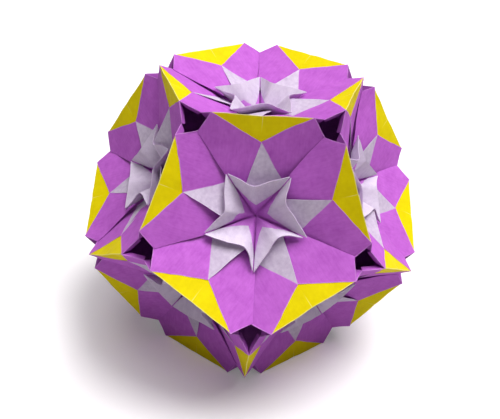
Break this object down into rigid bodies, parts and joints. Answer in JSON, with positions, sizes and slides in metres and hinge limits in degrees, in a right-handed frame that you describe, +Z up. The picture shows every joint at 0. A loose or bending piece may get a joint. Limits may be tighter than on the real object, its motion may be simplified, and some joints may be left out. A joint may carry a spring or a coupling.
{
  "type": "kusudama paper ball",
  "caption": "Modular ball of folded purple and white paper units with a yellow slip on each ridge; five-sided pits hold curled star flowers. Hangs or stands as an ornament.",
  "frame": {"origin": "under the ball's centre, on the surface that the five ridges of its lowest face stand on", "axes": "+Z up along the axis through the middles of the lowest and highest faces; -Y towards the face that the picture shows in front"},
  "size_m": [0.11, 0.112, 0.0935],
  "materials": {
    "unit_paper": "matte folding paper, purple outside and white on the reverse",
    "insert_paper": "matte folding paper, yellow"
  },
  "bodies": {
    "root": {"insert_bottom_1": "insert_paper", "insert_bottom_2": "insert_paper", "insert_bottom_3": "insert_paper", "insert_bottom_4": "insert_paper", "insert_bottom_5": "insert_paper", "insert_lower_1": "insert_paper", "insert_lower_2": "insert_paper", "insert_lower_3": "insert_paper", "insert_lower_4": "insert_paper", "insert_lower_5": "insert_paper", "insert_top_1": "insert_paper", "insert_top_2": "insert_paper", "insert_top_3": "insert_paper", "insert_top_4": "insert_paper", "insert_top_5": "insert_paper", "insert_upper_1": "insert_paper", "insert_upper_2": "insert_paper", "insert_upper_3": "insert_paper", "insert_upper_4": "insert_paper", "insert_upper_5": "insert_paper", "insert_waist_left_1": "insert_paper", "insert_waist_left_2": "insert_paper", "insert_waist_left_3": "insert_paper", "insert_waist_left_4": "insert_paper", "insert_waist_left_5": "insert_paper", "insert_waist_right_1": "insert_paper", "insert_waist_right_2": "insert_paper", "insert_waist_right_3": "insert_paper", "insert_waist_right_4": "insert_paper", "insert_waist_right_5": "insert_paper", "unit_bottom_1": "unit_paper", "unit_bottom_2": "unit_paper", "unit_bottom_3": "unit_paper", "unit_bottom_4": "unit_paper", "unit_bottom_5": "unit_paper", "unit_lower_1": "unit_paper", "unit_lower_2": "unit_paper", "unit_lower_3": "unit_paper", "unit_lower_4": "unit_paper", "unit_lower_5": "unit_paper", "unit_top_1": "unit_paper", "unit_top_2": "unit_paper", "unit_top_3": "unit_paper", "unit_top_4": "unit_paper", "unit_top_5": "unit_paper", "unit_upper_1": "unit_paper", "unit_upper_2": "unit_paper", "unit_upper_3": "unit_paper", "unit_upper_4": "unit_paper", "unit_upper_5": "unit_paper", "unit_waist_left_1": "unit_paper", "unit_waist_left_2": "unit_paper", "unit_waist_left_3": "unit_paper", "unit_waist_left_4": "unit_paper", "unit_waist_left_5": "unit_paper", "unit_waist_right_1": "unit_paper", "unit_waist_right_2": "unit_paper", "unit_waist_right_3": "unit_paper", "unit_waist_right_4": "unit_paper", "unit_waist_right_5": "unit_paper"}
  },
  "joints": []
}
